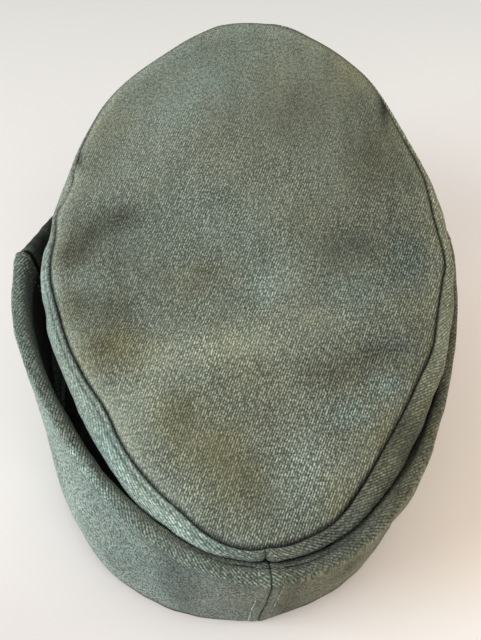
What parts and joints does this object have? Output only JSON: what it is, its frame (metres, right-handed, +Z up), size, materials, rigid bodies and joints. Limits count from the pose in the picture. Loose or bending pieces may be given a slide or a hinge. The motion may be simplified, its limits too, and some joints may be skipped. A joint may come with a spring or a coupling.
{
  "type": "peaked field cap",
  "caption": "Soft wool field cap with an oval crown, a turned-up flap round it and a short cloth covered peak.",
  "frame": {"origin": "middle of the cap's outline on the surface it lies on", "axes": "+Z up, +Y to the back of the cap, +X to the wearer's left"},
  "size_m": [0.1735, 0.2834, 0.1166],
  "materials": {
    "crown_wool": "grey-green wool twill, slightly mottled",
    "flap_wool": "grey-green wool twill, doubled",
    "peak_wool": "grey-green wool twill over a stiffener",
    "button_metal": "matt grey paint"
  },
  "bodies": {
    "root": {"crown_top": "crown_wool", "crown_side_left": "crown_wool", "crown_side_right": "crown_wool", "flap_rear_left": "flap_wool", "flap_rear_right": "flap_wool", "flap_front_left": "flap_wool", "flap_front_right": "flap_wool", "peak": "peak_wool", "button_upper": "button_metal", "button_lower": "button_metal"}
  },
  "joints": []
}
